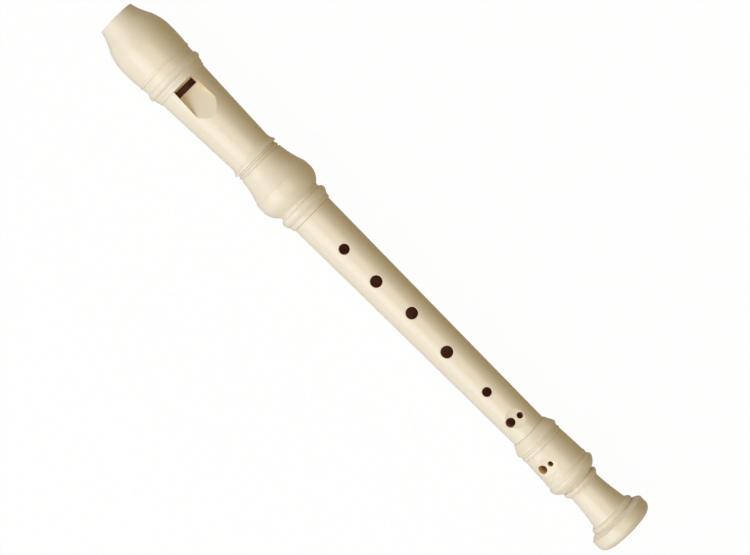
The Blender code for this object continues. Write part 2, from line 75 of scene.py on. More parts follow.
def deselectAll():
    if bpy.context.mode != "OBJECT":
        bpy.ops.object.mode_set(mode="OBJECT")
    bpy.ops.object.select_all(action="DESELECT")


def makeActive(piece):
    deselectAll()
    piece.select_set(True)
    bpy.context.view_layer.objects.active = piece


def editMode():
    bpy.ops.object.mode_set(mode="EDIT")


def objectMode():
    bpy.ops.object.mode_set(mode="OBJECT")


def selectPoints(piece, wanted):
    # selects the vertices whose place passes the test and stays in edit mode
    editMode()
    bpy.ops.mesh.select_mode(type="VERT")
    bpy.ops.mesh.select_all(action="DESELECT")
    objectMode()
    for vertex in piece.data.vertices:
        vertex.select = bool(wanted(vertex.co))
    editMode()


def movePoints(piece, moved):
    # gives each vertex the place that the function returns
    objectMode()
    for vertex in piece.data.vertices:
        vertex.co = moved(vertex.co.copy())


def atBore(x, height, side=0):
    # a place by its station, its height over the bore's axis and its side, all in mm
    return Vector((tipX + x * mm, side * mm, axisHeight + height * mm))


def drawnFace(name, points):
    # one vertex drawn on from point to point, then filled as a face
    deselectAll()
    bpy.ops.mesh.primitive_plane_add(size=mm, location=points[0])
    piece = bpy.context.object
    piece.name = name
    editMode()
    bpy.ops.mesh.select_all(action="SELECT")
    bpy.ops.mesh.merge(type="CENTER")
    for start, end in zip(points, points[1:]):
        bpy.ops.mesh.extrude_region_move(TRANSFORM_OT_translate={"value": end - start})
    bpy.ops.mesh.select_all(action="SELECT")
    bpy.ops.mesh.edge_face_add()
    objectMode()
    bpy.ops.object.transform_apply(location=True, rotation=True, scale=True)
    return piece


def softenCorners(piece, corners):
    # rounds the face's corners, each a place and a width in mm
    near = finish["cornerNear"] * mm
    for soft in sorted({width for _, width in corners}):
        places = [place for place, width in corners if width == soft]
        selectPoints(piece, lambda co: any((co - place).length < near for place in places))
        bpy.ops.mesh.bevel(affect="VERTICES", offset=soft * mm, segments=finish["cornerSteps"],
                           clamp_overlap=True)
        objectMode()


def bowed(start, end, bow, bowTurn=finish["bowTurn"]):
    # points along a circular arc from start to end that stands out from its chord by bow
    chord = end - start
    half = chord.length / 2
    radius = (half * half + bow * bow) / (2 * abs(bow))
    reach = math.asin(min(1, half / radius))
    steps = max(finish["bowSteps"], math.ceil(2 * reach / bowTurn))
    along = chord.normalized()
    out = Vector((-along.y, along.x)) * (1 if bow > 0 else -1)
    middle = (start + end) / 2
    points = []
    for step in range(1, steps):
        angle = reach * (2 * step / steps - 1)
        lift = radius * math.cos(angle) - (radius - abs(bow))
        points.append(middle + along * radius * math.sin(angle) + out * lift)
    return points


def outline(stations, bowTurn=finish["bowTurn"]):
    # stations are (x, radius, bow before it, corner softness); returns points and soft corners
    points = []
    corners = []
    for x, radius, *extra in stations:
        bow = extra[0] if extra else 0
        here = Vector((x, radius))
        if bow:
            points.extend(bowed(points[-1], here, bow, bowTurn))
        points.append(here)
        if len(extra) > 1:
            corners.append((here, extra[1]))
    return points, corners


def turned(name, start, outer, inner, turnSteps=finish["turnSteps"], bowTurn=finish["bowTurn"]):
    # draws the wall's section, softens its corners and spins it about the bore
    outerPoints, outerCorners = outline(outer, bowTurn)
    innerPoints, innerCorners = outline(inner, bowTurn)
    section = [atBore(start + point.x, point.y) for point in outerPoints + innerPoints[::-1]]
    piece = drawnFace(name, section)
    corners = [(atBore(start + point.x, point.y), soft) for point, soft in outerCorners + innerCorners]
    softenCorners(piece, corners)
    editMode()
    bpy.ops.mesh.select_all(action="SELECT")
    bpy.ops.mesh.delete(type="ONLY_FACE")
    bpy.ops.mesh.select_all(action="SELECT")
    bpy.ops.mesh.spin(steps=turnSteps, angle=2 * math.pi, center=(0, 0, axisHeight), axis=(1, 0, 0))
    bpy.ops.mesh.select_all(action="SELECT")
    bpy.ops.mesh.remove_doubles(threshold=finish["spinWeld"] * mm)
    bpy.ops.mesh.normals_make_consistent(inside=False)
    objectMode()
    return piece


def drawnThrough(name, points, corners, reach):
    # a closed section drawn and pushed through by reach
    piece = drawnFace(name, points)
    softenCorners(piece, corners)
    editMode()
    bpy.ops.mesh.select_all(action="SELECT")
    bpy.ops.mesh.extrude_region_move(TRANSFORM_OT_translate={"value": reach})
    bpy.ops.mesh.select_all(action="SELECT")
    bpy.ops.mesh.normals_make_consistent(inside=False)
    objectMode()
    return piece


def cutAway(piece, cutter, operation="DIFFERENCE"):
    makeActive(piece)
    modifier = piece.modifiers.new("cut", "BOOLEAN")
    modifier.operation = operation
    modifier.solver = "EXACT"
    modifier.material_mode = "TRANSFER"
    modifier.object = cutter
    bpy.ops.object.modifier_apply(modifier=modifier.name)
    bpy.data.objects.remove(cutter, do_unlink=True)


def smoothOver(piece, sharpAngle=finish["sharpAngle"]):
    makeActive(piece)
    editMode()
    bpy.ops.mesh.select_all(action="SELECT")
    bpy.ops.mesh.remove_doubles(threshold=finish["cutWeld"] * mm)
    objectMode()
    bpy.ops.object.shade_smooth_by_angle(angle=sharpAngle)
    weighted = piece.modifiers.new("evenShading", "WEIGHTED_NORMAL")
    weighted.keep_sharp = True
    bpy.ops.object.modifier_apply(modifier=weighted.name)
    bpy.ops.object.transform_apply(location=True, rotation=True, scale=True)


def paint(piece, material):
    piece.data.materials.clear()
    piece.data.materials.append(material)


def paintFaces(piece, material, wanted):
    # gives the material to the faces whose middle and normal pass the test
    piece.data.materials.append(material)
    slot = len(piece.data.materials) - 1
    for face in piece.data.polygons:
        if wanted(face.center, face.normal):
            face.material_index = slot


def paintShadeInBore(piece, material, within=9.2, lean=-0.3):
    # the faces within some mm of the bore's axis that look toward it get the bore's painted shade
    def looksIn(center, normal):
        outward = Vector((0, center.y, center.z - axisHeight))
        return 0 < outward.length < within * mm and normal.dot(outward.normalized()) < lean
    paintFaces(piece, material, looksIn)


def fitOn(piece, body, node):
    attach(piece, body)
    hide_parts(node)


# Camera: high over the head's lower end, aimed a little down the bore.

cameraPlan = {
    "overStation": 107.2,  # mm from the tip, where the lens looks square at the bore
    "aimStation": 166.28,
    "aimAside": -0.09,
    "height": 1368,  # mm over the bore
    "turn": math.radians(44.98),  # from the picture's right down to the bore
    "lens": 144.26,
    "sensor": 36,
    "seesTo": 20,  # metres
}


def placeCamera():
    plan = cameraPlan
    place = atBore(plan["overStation"], plan["height"])
    aim = atBore(plan["aimStation"], 0, plan["aimAside"])
    back = (place - aim).normalized()
    right = Vector((math.cos(plan["turn"]), math.sin(plan["turn"]), 0))
    right = (right - back * right.dot(back)).normalized()
    up = back.cross(right)
    data = bpy.data.cameras.new("camera")
    data.lens = plan["lens"]
    data.sensor_width = plan["sensor"]
    data.clip_end = plan["seesTo"]
    camera = bpy.data.objects.new("camera", data)
    bpy.context.scene.collection.objects.link(camera)
    camera.matrix_world = Matrix.Translation(place) @ Matrix((right, up, back)).transposed().to_4x4()
    bpy.context.scene.camera = camera


placeCamera()
print("camera placed")


# Shader helpers: a socket that arithmetic works on, and one way to add any node.

class Wire:
    def __init__(self, tree, socket):
        self.tree = tree
        self.socket = socket

    def math(self, operation, first, second):
        node = self.tree.nodes.new("ShaderNodeMath")
        node.operation = operation
        for value, socket in zip((first, second), node.inputs):
            if isinstance(value, Wire):
                self.tree.links.new(value.socket, socket)
            else:
                socket.default_value = value
        return Wire(self.tree, node.outputs[0])

    def __add__(self, other):
        return self.math("ADD", self, other)

    def __radd__(self, other):
        return self.math("ADD", other, self)

    def __mul__(self, other):
        return self.math("MULTIPLY", self, other)

    def __rmul__(self, other):
        return self.math("MULTIPLY", other, self)


class Nodes:
    # the nodes of a new material or world
    def __init__(self, owner):
        owner.use_nodes = True
        self.tree = owner.node_tree
        self.tree.nodes.clear()

    def node(self, kind, settings, sockets, output=0):
        node = self.tree.nodes.new("ShaderNode" + kind)
        for name, value in settings.items():
            setattr(node, name, value)
        for name, value in sockets.items():
            if isinstance(value, Wire):
                self.tree.links.new(value.socket, node.inputs[name])
            else:
                node.inputs[name].default_value = value
        return Wire(self.tree, node.outputs[output]) if node.outputs else None

    def mixed(self, share, first, second):
        # a colour between two others; Mix keeps its colour sockets at 6, 7 and output 2
        return self.node("Mix", {"data_type": "RGBA"}, {0: share, 6: first, 7: second}, 2)


# Ivory plastic, as moulded: faint clouds, a satin skin and a very fine grain. The bore's finishes add
# painted shade, a painted glow and painted paler rims.

# A finish's rim is a paler colour painted on a hole's wall near the outside, painted light standing in for
# daylight soaking through the wall; its depths are the mm from the bore's axis where that colour starts and
# is full, its glow a painted glow, and its mouthFade the mm from the foot's end over which the bore turns
# from ivory to the painted amber shade.
plasticPlan = {
    "outside": {"light": (0.890, 0.845, 0.750, 1), "deep": (0.845, 0.790, 0.675, 1), "roughness": 0.28},
    # edge: a warmer ivory, painted light that stands in for light soaking through the window's thin edges
    "edge": {"light": (0.930, 0.770, 0.520, 1), "deep": (0.900, 0.730, 0.470, 1), "roughness": 0.28},
    # inside: the bore's painted dark shade, with a painted paler rim and a faint painted glow
    "inside": {"light": (0.32, 0.15, 0.10, 1), "deep": (0.28, 0.12, 0.08, 1), "roughness": 0.6,
               "rim": (0.46, 0.24, 0.12, 1), "glow": (0.008, 0.0010, 0.0010, 1), "depths": (6.0, 10.0)},
    # amber: the foot's bore in a painted amber shade, with a painted glow and a painted pale rim
    "amber": {"light": (0.33, 0.18, 0.065, 1), "deep": (0.28, 0.15, 0.052, 1), "roughness": 0.6,
              "rim": (0.93, 0.69, 0.36, 1), "glow": (0.024, 0.009, 0.0012, 1), "depths": (8.2, 11.4),
              "mouthFade": 14},
    "cloudScale": 45.0,
    "flowScale": (25.0, 260.0, 260.0),  # flow marks run along the bore
    "grainScale": 2600.0,
    "wipeScale": (900.0, 90.0, 900.0),  # and marks of wiping run askew
    "wipeTurn": (0.3, 0.2, 0.5),
    "cloudTone": 0.7,  # shares of the cloud and of the flow marks in the colour
    "flowTone": 0.3,
    "cloudSheen": 0.05,  # how much the cloud and the wiping roughen the skin
    "wipeSheen": 0.07,
    "grainRelief": 0.6,  # and how much the grain and the wiping stand out of it
    "wipeRelief": 0.2,
    "relief": 0.05,
    "reliefDepth": 0.02,  # mm
}
noGlow = (0, 0, 0, 1)


def ivoryPlastic(name, light, deep, roughness, rim=None, glow=noGlow, depths=(0, 1), mouthFade=0):
    plan = plasticPlan
    material = bpy.data.materials.new(name)
    made = Nodes(material)
    place = made.node("TexCoord", {}, {}, "Object")
    cloud = made.node("TexNoise", {}, {"Vector": place, "Scale": plan["cloudScale"], "Detail": 3.0,
                                       "Roughness": 0.55})
    along = made.node("Mapping", {}, {"Vector": place, "Scale": plan["flowScale"]})
    flow = made.node("TexNoise", {}, {"Vector": along, "Scale": 1.0, "Detail": 2.0, "Distortion": 0.6})
    fine = made.node("TexNoise", {}, {"Vector": place, "Scale": plan["grainScale"], "Detail": 2.0})
    wipes = made.node("Mapping", {}, {"Vector": place, "Rotation": plan["wipeTurn"],
                                      "Scale": plan["wipeScale"]})
    rubbed = made.node("TexNoise", {}, {"Vector": wipes, "Scale": 1.0, "Detail": 4.0})
    tone = cloud * plan["cloudTone"] + flow * plan["flowTone"]
    colour = made.mixed(tone, deep, light)
    if rim:
        # painted light: a hole's wall is painted paler near the outside, standing in for daylight soaking
        # through the wall
        middle = made.node("VectorMath", {"operation": "SUBTRACT"}, {0: place, 1: (0, 0, axisHeight)})
        across = made.node("VectorMath", {"operation": "MULTIPLY"}, {0: middle, 1: (0, 1, 1)})
        reach = made.node("VectorMath", {"operation": "LENGTH"}, {0: across}, "Value")
        paintedRimLight = made.node("MapRange", {}, {"Value": reach, "From Min": depths[0] * mm,
                                             "From Max": depths[1] * mm})
        colour = made.mixed(paintedRimLight, colour, rim)
    if mouthFade:
        # the bore is as pale as the outside at its mouth, and the painted shade and painted glow start
        # deeper in
        downBore = made.node("SeparateXYZ", {}, {"Vector": place}, "X")
        nearMouth = made.node("MapRange", {}, {"Value": downBore, "From Min": endX - mouthFade * mm,
                                               "From Max": endX})
        colour = made.mixed(nearMouth, colour, plan["outside"]["light"])
        glow = made.mixed(nearMouth, glow, noGlow)
    sheen = roughness - plan["cloudSheen"] + cloud * plan["cloudSheen"] + rubbed * plan["wipeSheen"]
    relief = fine * plan["grainRelief"] + rubbed * plan["wipeRelief"]
    bump = made.node("Bump", {}, {"Height": relief, "Strength": plan["relief"],
                                  "Distance": plan["reliefDepth"] * mm})
    # the Emission Color gives the inside finishes a painted glow, though they are no lamp
    shader = made.node("BsdfPrincipled", {}, {"Base Color": colour, "Roughness": sheen, "Normal": bump,
                                              "IOR": 1.5, "Emission Color": glow,
                                              "Emission Strength": 1.0 if rim else 0.0})
    made.node("OutputMaterial", {}, {"Surface": shader})
    return material


ivory = ivoryPlastic("ivoryPlastic", **plasticPlan["outside"])
# a warmer ivory painted on the window's cheeks and front wall: painted light, standing in for the light that
# soaks through thin edges
ivoryEdgePaintedGlow = ivoryPlastic("ivoryEdgePaintedGlow", **plasticPlan["edge"])
# inside the bore, the holes and the window: a painted dark brown shade, with a faint painted glow and a
# painted paler rim near the outside
ivoryPaintedShadeInside = ivoryPlastic("ivoryPaintedShadeInside", **plasticPlan["inside"])
# the foot's bore and holes: a painted amber shade with a stronger painted glow and a painted pale rim,
# turning to the outside ivory at the mouth
ivoryPaintedAmberShade = ivoryPlastic("ivoryPaintedAmberShade", **plasticPlan["amber"])
print("plastic mixed")


# Finger holes and the dishes that the double holes lie in. A positive turn is toward the lit side.

holePlan = {
    "rim": 0.3,  # radius of the rounded rim, in mm
    "leanStep": 10,  # degrees that each step of the rim leans further
    "runOn": 0.3,  # share of the rim's radius that its slope runs on
    "over": 18,  # mm from the bore's axis where the circle starts
    "top": 20,  # and where the cutter ends
    "dishSteps": 256,
    "dishLength": 30,
}


def outward(turn):
    # the way out from the bore's axis; with no turn it is straight up
    return Vector((0, -math.sin(turn), math.cos(turn)))


def holeCutter(piece, station, radius, turn, wall):
    # a circle over the wall, widened to the rim and laid on the wall, then drawn up and down
    rim, leanStep, steps = holePlan["rim"], holePlan["leanStep"], finish["holeSteps"]
    over = atBore(station, 0) + outward(turn) * holePlan["over"] * mm
    deselectAll()
    bpy.ops.mesh.primitive_circle_add(vertices=steps, radius=radius * mm, location=over,
                                      rotation=(turn, 0, 0))
    cutter = bpy.context.object
    profile = [(rim * (1 - math.cos(math.radians(lean))), rim * (math.sin(math.radians(lean)) - 1))
               for lean in range(0, 90, leanStep)]
    wider, lower = profile[-1]
    runOn = holePlan["runOn"] * rim
    profile.append((wider + runOn, lower + runOn * math.tan(math.radians(leanStep))))
    last = len(profile) - 1
    editMode()
    bpy.ops.mesh.select_all(action="SELECT")
    width = radius
    for wider, _ in profile[1:]:
        bpy.ops.mesh.extrude_region_move()
        grow = (radius + wider) / width
        bpy.ops.transform.resize(value=(grow, grow, grow), center_override=over)
        width = radius + wider
    objectMode()
    laid = cutter.modifiers.new("laid", "SHRINKWRAP")
    laid.wrap_method = "PROJECT"
    laid.use_project_z = True
    laid.use_positive_direction = False
    laid.use_negative_direction = True
    laid.target = piece
    bpy.ops.object.modifier_apply(modifier=laid.name)
    for index, vertex in enumerate(cutter.data.vertices):
        vertex.co.z += profile[index // steps][1] * mm
    # the outermost ring is drawn up out of the wall and the innermost down to the axis
    for ring, reach in ((last, holePlan["top"]), (0, 0)):
        editMode()
        bpy.ops.mesh.select_all(action="DESELECT")
        objectMode()
        for index, vertex in enumerate(cutter.data.vertices):
            vertex.select = index // steps == ring
        editMode()
        bpy.ops.mesh.extrude_region_move()
        level = atBore(station, 0) + outward(turn) * reach * mm
        bpy.ops.transform.resize(value=(1, 1, 0), orient_type="LOCAL", center_override=level)
        bpy.ops.mesh.edge_face_add()
        objectMode()
    makeActive(cutter)
    editMode()
    bpy.ops.mesh.select_all(action="SELECT")
    bpy.ops.mesh.normals_make_consistent(inside=False)
    objectMode()
    paint(cutter, ivory)
    # the hole's wall gets the wall finish, the bore's painted shade
    paintFaces(cutter, wall, lambda center, normal: math.hypot(center.x, center.y) < radius * mm)
    return cutter


def dishCutter(station, surface, depth, roll, turn):
    # a round bar laid across the joint, whose side cuts the dish
    place = atBore(station, 0) + outward(turn) * (surface - depth + roll) * mm
    deselectAll()
    bpy.ops.mesh.primitive_cylinder_add(vertices=holePlan["dishSteps"], radius=roll * mm,
                                        depth=holePlan["dishLength"] * mm, location=place)
    cutter = bpy.context.object
    cutter.rotation_euler = (turn + math.pi / 2, 0, 0)
    bpy.ops.object.transform_apply(location=True, rotation=True, scale=True)
    paint(cutter, ivory)
    return cutter


# The windway is shared by the beak, the head tube and the block.

windwayPlan = {
    "exit": 43.2,  # station where it opens into the window
    "entryWidth": 11.2,
    "exitWidth": 9.85,
    "entryRoof": 6.75,  # heights over the bore's axis
    "exitRoof": 7.45,
    "entryFloor": 5.05,
    "exitFloor": 6.25,
    "arch": 30,  # radius of its roof and floor, seen from the end
    "cutBefore": 3,  # mm that its cutter stands out at the tip
    "cutPast": 0.1,  # and into the window
    "barFoot": 2.0,  # height where a bar starts, inside the bore
    "barDrawn": 4,  # and how tall it is drawn before it is fitted
}


def archDrop(side):
    return windwayPlan["arch"] - math.sqrt(windwayPlan["arch"] ** 2 - side ** 2)


def alongWindway(station, entry, exitValue):
    return entry + (exitValue - entry) * station / windwayPlan["exit"]


def archedBar(name, start, end, roofs, widths):
    # a bar along the bore with an arched top; its section is drawn 1 mm wide and then fitted
    foot, drawn, steps = windwayPlan["barFoot"], windwayPlan["barDrawn"], finish["archSteps"]
    points = [atBore(start, foot, -0.5), atBore(start, foot, 0.5)]
    points += [atBore(start, foot + drawn, 0.5 - step / steps) for step in range(steps + 1)]
    bar = drawnThrough(name, points, [], atBore(end, 0) - atBore(start, 0))

    def fitted(co):
        station = (co.x - tipX) / mm
        share = (station - start) / (end - start)
        width = widths[0] + (widths[1] - widths[0]) * share
        roof = roofs[0] + (roofs[1] - roofs[0]) * share
        side = co.y / mm * width
        height = (co.z - axisHeight) / mm
        if height > foot + drawn / 2:
            height = roof - archDrop(side)
        return atBore(station, height, side)

    movePoints(bar, fitted)
    return bar


def windwayCutter():
    plan = windwayPlan
    start, end = -plan["cutBefore"], plan["exit"] + plan["cutPast"]
    roofs = [alongWindway(x, plan["entryRoof"], plan["exitRoof"]) for x in (start, end)]
    widths = [alongWindway(x, plan["entryWidth"], plan["exitWidth"]) for x in (start, end)]
    bar = archedBar("windwayCut", start, end, roofs, widths)
    paint(bar, ivory)
    return bar


# Beak: turned solid, its underside pressed up to the scoop, then bored.

# An outline's points are station, radius, bow before the point and softness of the corner, in mm.
beakPlan = {
    "outer": [
        (0, 0), (0, 9.28, 0, 0.85), (9.2, 12.95, -0.38), (20.0, fullRadius, 0.6), (30.3, 14.64, 0.16, 0.2),
        (31.28, 14.80, 0.12, 0.06), (31.28, 0),
    ],
    "core": [(-3, 0), (-3, headBore), (26.9, headBore), (26.9, 10.45), (34, 10.45), (34, 0)],
    "scoopStart": (0, -0.4),  # station and height
    "scoopEnd": (29.0, -15.2),
    "scoopHollow": 3.0,
    "scoopSoft": 0.9,  # mm over which its edge is rounded
    "noScoop": -99,  # height for the stations past its end
    "turnSteps": 288,
    "bowTurn": math.radians(0.4),
    "sharpAngle": math.radians(36),
}


def scoopHeight(station):
    start, end = Vector(beakPlan["scoopStart"]), Vector(beakPlan["scoopEnd"])
    points = [start] + bowed(start, end, beakPlan["scoopHollow"], beakPlan["bowTurn"]) + [end]
    for first, second in zip(points, points[1:]):
        if station <= second.x:
            share = max(0, (station - first.x) / (second.x - first.x))
            return first.y + (second.y - first.y) * share
    return beakPlan["noScoop"]


def makeBeak():
    plan = beakPlan
    piece = turned("beakShell", 0, plan["outer"], [], plan["turnSteps"], plan["bowTurn"])
    soft = plan["scoopSoft"]

    def pressed(co):
        station, height = (co.x - tipX) / mm, (co.z - axisHeight) / mm
        scoop = scoopHeight(station)
        blend = min(1, max(0, 0.5 + 0.5 * (height - scoop) / soft))
        height = scoop + (height - scoop) * blend + soft * blend * (1 - blend)
        return Vector((co.x, co.y, axisHeight + height * mm))

    movePoints(piece, pressed)
    paint(piece, ivory)
    core = turned("core", 0, plan["core"], [])
    paint(core, ivory)
    cutAway(piece, core)
    cutAway(piece, windwayCutter())
    smoothOver(piece, plan["sharpAngle"])
    fitOn(piece, "head", "beak")


# Block: a plug in the bore with the windway's floor on top, trimmed to the scoop.

blockPlan = {
    "start": 0.4,
    "radius": 6.62,
    "soft": 0.25,
    "sideGap": 0.05,  # between the shelf and the windway's sides
    "shoulder": 3.2,  # height from which only the shelf is left of the plug
    "scoopGap": 0.02,  # mm that its underside stands out of the scoop
    "scoopStep": 0.7,  # mm along the bore between the points of that cut
    # the two cutters reach well past the plug on every side
    "topCut": {"start": -1, "length": 50, "side": 9, "height": 12},
    "underCut": {"start": -3, "end": 28.9, "side": 20, "height": -30},
}


def makeBlock():
    plan, way = blockPlan, windwayPlan
    end = way["exit"]
    body = [(plan["start"], 0), (plan["start"], plan["radius"], 0, plan["soft"]),
            (end, plan["radius"], 0, plan["soft"]), (end, 0)]
    piece = turned("windwayBlock", 0, body, [])
    floors = [alongWindway(x, way["entryFloor"], way["exitFloor"]) for x in (plan["start"], end)]
    widths = [alongWindway(x, way["entryWidth"], way["exitWidth"]) - 2 * plan["sideGap"]
              for x in (plan["start"], end)]
    # the plug is cut off above its shoulders, and the shelf is set on them
    cut = plan["topCut"]
    corners = [(plan["shoulder"], -cut["side"]), (plan["shoulder"], cut["side"]),
               (cut["height"], cut["side"]), (cut["height"], -cut["side"])]
    top = drawnThrough("top", [atBore(cut["start"], height, side) for height, side in corners], [],
                       atBore(cut["length"], 0) - atBore(0, 0))
    cutAway(piece, top)
    shelf = archedBar("shelf", plan["start"], end, floors, widths)
    cutAway(piece, shelf, "UNION")
    # below the scoop it is trimmed away, from side to side
    cut = plan["underCut"]
    stations = [plan["scoopStep"] * step for step in range(math.ceil(cut["end"] / plan["scoopStep"]))]
    line = [(cut["start"], scoopHeight(0) - plan["scoopGap"])]
    line += [(x, scoopHeight(x) - plan["scoopGap"]) for x in stations]
    line += [(cut["end"], cut["height"]), (cut["start"], cut["height"])]
    under = drawnThrough("under", [atBore(x, height, -cut["side"]) for x, height in line], [],
                         Vector((0, 2 * cut["side"] * mm, 0)))
    cutAway(piece, under)
    paint(piece, ivory)
    # the block's end, facing the window, gets the bore's painted dark shade
    paintFaces(piece, ivoryPaintedShadeInside, lambda center, normal: normal.x > 0.9)
    smoothOver(piece)
    fitOn(piece, "head", "block")


makeBeak()
print("beak turned and scooped")
makeBlock()
print("block fitted")


# Head tube: collar, ring, tapering tube, lip, small bead and the bulb's upper half.

tubePlan = {
    "outer": [
        (-3.4, 10.4, 0, 0.3), (0.7, 10.4), (0.7, 14.42, 0, 0.06), (4.5, 14.2, -0.12), (4.95, 14.5, -0.08),
        (8.12, 14.5, fullRadius - 14.5), (8.7, 14.0, -0.06), (9.6, 14.0, 0.06), (10.2, 13.72, 0.04),
        (11.85, 13.44, -0.03, 0.12), (12.2, 12.98, 0, 0.12), (54.4, 11.22), (57.2, 11.72, -0.12, 0.2),
        (58.05, 12.34, 0.03, 0.1), (59.0, 12.4, 0.03, 0.1), (59.2, 10.95), (59.4, 10.95),
        (59.65, 11.38, 0, 0.06), (60.2, 11.36), (60.3, 11.15), (61.6, 11.2, 0.62), (61.8, 11.15),
        (62.25, 11.85, 0, 0.06), (74.98, 14.9, -0.45, 0.05), (74.98, 10.45), (68.1, 10.45),
    ],
    "inner": [(-3.4, headBore, 0, 0.2), (68.1, headBore)],
    "cutUp": 3.3,  # mm from the windway's end to the labium's edge
    "edgeHeight": 6.95,
    "edgeThick": 0.3,
    "rampSlope": math.radians(17.7),
    "rampHollow": -2.1,  # factor of the edge's arch at the cut's top, where the ramp is hollow
    "rampSteps": (20, 25),  # across and along
    "cheeks": (5.35, 5.2),  # half widths at the edge, on the lit side and on the other
    "cheekDraft": (0.02, 0.28),  # mm that each leans out for each mm up
    "cheekSpread": 0.042,  # and for each mm toward the bell
    "frontBack": 0.26,  # mm from the windway's end back to the front wall
    "frontSlant": 0.06,
    "cutFoot": 2.5,  # heights where the window's cut starts and ends
    "cutTop": 17.0,
    "undercut": 10.0,  # length of the hollow below the edge
    "undercutInset": 0.3,  # mm that it keeps in from the windway's sides
    "undercutBefore": 1.5,  # mm before the edge where its cutter starts
    "undercutSink": 0.1,  # and how far that has dropped below the wall at its other end
}


def windowCutter():
    # its side is drawn and pushed across, divided into steps, and then drafted and arched
    plan, way = tubePlan, windwayPlan
    front = way["exit"]
    edge = front + plan["cutUp"]
    edgeHeight, bottom, top = plan["edgeHeight"], plan["cutFoot"], plan["cutTop"]
    rampEnd = edge + (top - edgeHeight) / math.tan(plan["rampSlope"])
    half = way["exitWidth"] / 2
    wall = [(front - plan["frontBack"] - plan["frontSlant"] * (height - way["exitRoof"]), height)
            for height in (top, bottom)]
    section = wall + [(edge, bottom), (edge, edgeHeight), (rampEnd, top)]
    points = [atBore(x, height, -half) for x, height in section]
    cutter = drawnThrough("windowCut", points, [], Vector((0, 2 * half * mm, 0)))
    editMode()
    across, along = plan["rampSteps"]
    planes = [(atBore(edge, 0, (2 * step / across - 1) * half), (0, 1, 0)) for step in range(1, across)]
    planes += [(atBore(edge + (rampEnd - edge) * step / along, 0), (1, 0, 0)) for step in range(1, along)]
    planes.append((atBore(edge, edgeHeight), (0, 0, 1)))
    for place, normal in planes:
        bpy.ops.mesh.select_all(action="SELECT")
        bpy.ops.mesh.bisect(plane_co=place, plane_no=normal)
    objectMode()

    def fitted(co):
        station, height, side = (co.x - tipX) / mm, (co.z - axisHeight) / mm, co.y / mm
        cheek = 0 if side < 0 else 1
        side *= (plan["cheeks"][cheek] + plan["cheekSpread"] * (station - edge)
                 + plan["cheekDraft"][cheek] * max(0, height - edgeHeight)) / half
        if height > (bottom + edgeHeight) / 2:
            rise = (height - edgeHeight) / (top - edgeHeight)
            height -= archDrop(side) * (1 + (plan["rampHollow"] - 1) * rise)
        return atBore(station, height, side)

    movePoints(cutter, fitted)
    paint(cutter, ivory)
    # the cheeks and the front wall get the warmer ivory, a painted glow of light through the thin edges
    paintFaces(cutter, ivoryEdgePaintedGlow, lambda center, normal: abs(normal.z) < 0.5)
    return cutter


def undercutCutter():
    # thins the labium from below, and runs out just inside the bore
    plan, way = tubePlan, windwayPlan
    edge = way["exit"] + plan["cutUp"]
    half = way["exitWidth"] / 2 - plan["undercutInset"]
    height = plan["edgeHeight"] - plan["edgeThick"]
    lower = math.sqrt(headBore ** 2 - half ** 2) - plan["undercutSink"]
    cutter = archedBar("undercut", edge - plan["undercutBefore"], edge + plan["undercut"],
                       [height, lower], [2 * half, 2 * half])
    # the hollow under the labium gets the bore's painted dark shade
    paint(cutter, ivoryPaintedShadeInside)
    return cutter


def makeHeadTube():
    plan = tubePlan
    piece = turned("headTube", starts["headTube"], plan["outer"], plan["inner"])
    paint(piece, ivory)
    # the bore gets its painted dark shade
    paintShadeInBore(piece, ivoryPaintedShadeInside)
    cutAway(piece, windwayCutter())
    cutAway(piece, windowCutter())
    cutAway(piece, undercutCutter())
    smoothOver(piece)
    fitOn(piece, "head", "head_tube")


makeHeadTube()
print("head tube turned, window cut")


# Bulb's lower half, which is the socket for the middle joint.

socketPlan = {
    "outer": [
        (-6.75, 10.38, 0, 0.3), (0.0, 10.38), (0.0, 14.88, 0, 0.05), (4.4, fullRadius, 0.08),
        (11.1, 11.52, 0.85), (12.95, 11.5, -0.25), (14.65, 12.82, 0.30), (17.35, 11.75, 0.29),
        (19.75, 11.38, -0.05, 0.25),
    ],
    "inner": [(-6.75, headBore, 0, 0.2), (0.2, headBore), (0.2, 8.52), (19.75, 8.52, 0, 0.35)],
}


def makeHeadSocket():
    plan = socketPlan
    piece = turned("headSocket", starts["headSocket"], plan["outer"], plan["inner"])
    paint(piece, ivory)
    # the bore gets its painted dark shade
    paintShadeInBore(piece, ivoryPaintedShadeInside)
    smoothOver(piece)
    fitOn(piece, "head", "head_socket")


makeHeadSocket()
print("bulb and socket turned")


# Middle joint: seven finger holes and the thumb hole.

middlePlan = {
    "outer": [
        (-19.7, 7.9), (-19.2, 8.4, 0, 0.2), (-15.2, 8.4, 0, 0.1), (-15.0, 8.2), (-14.0, 8.2),
        (-13.8, 8.4, 0, 0.1), (-0.18, 8.4), (-0.18, 10.72, 0, 0.2), (140.08, 9.03, -0.08, 0.2),
        (140.08, 7.3), (147.4, 7.3, 0, 0.1), (147.6, 7.15), (148.6, 7.15), (148.8, 7.3, 0, 0.1),
        (150.7, 7.3, 0, 0.2), (151.2, 6.8),
    ],
    "inner": [(-19.7, 6.5, 0, 0.3), (151.2, 5.2, 0, 0.3)],
    "turn": 5.7,  # degrees that the row of holes is turned aside
    "holes": [  # station, radius, degrees from the row; the last is the thumb's
        (21.35, 2.5, -0.8), (41.95, 2.85, 0), (63.5, 2.85, -7.9), (87.25, 2.9, 0), (113.0, 2.25, 0),
        (130.6, 2.2, 16.6), (131.2, 1.45, -22.0), (10.4, 2.75, 180),
    ],
    # the hole walls get the bore's painted dark shade
    "wall": ivoryPaintedShadeInside,
    "dish": (130.9, 9.15, 1.1, 11.0, -3.2),  # station, tube's radius, depth, roll, degrees from the row
}


